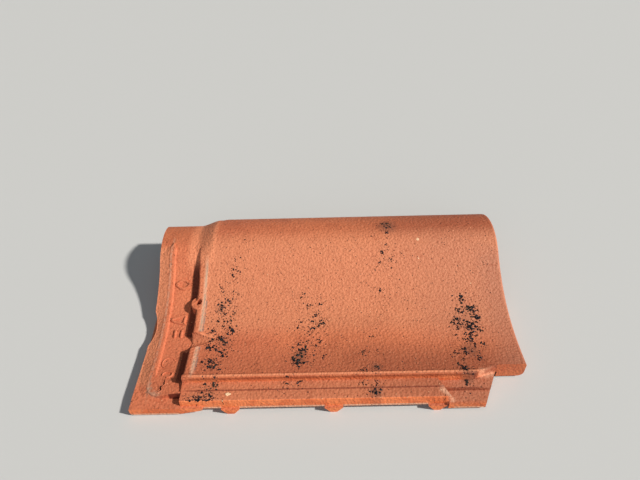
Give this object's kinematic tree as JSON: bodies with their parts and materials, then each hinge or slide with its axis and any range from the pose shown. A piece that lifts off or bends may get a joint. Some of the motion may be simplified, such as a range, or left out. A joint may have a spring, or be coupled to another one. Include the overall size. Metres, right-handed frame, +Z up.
{
  "type": "clay roof tile",
  "caption": "S-shaped interlocking clay roof tile with a low side lock, a covering roll, a stepped head, a nail hole and a hanging nib.",
  "frame": {"origin": "centre of the footprint at floor level", "axes": "+X along the tile from head to foot, +Y across from the side lock to the roll, +Z up"},
  "size_m": [0.3684, 0.2394, 0.0552],
  "materials": {
    "clay": "matt fired clay with a thin slip"
  },
  "bodies": {
    "root": {"tile": "clay"}
  },
  "joints": []
}
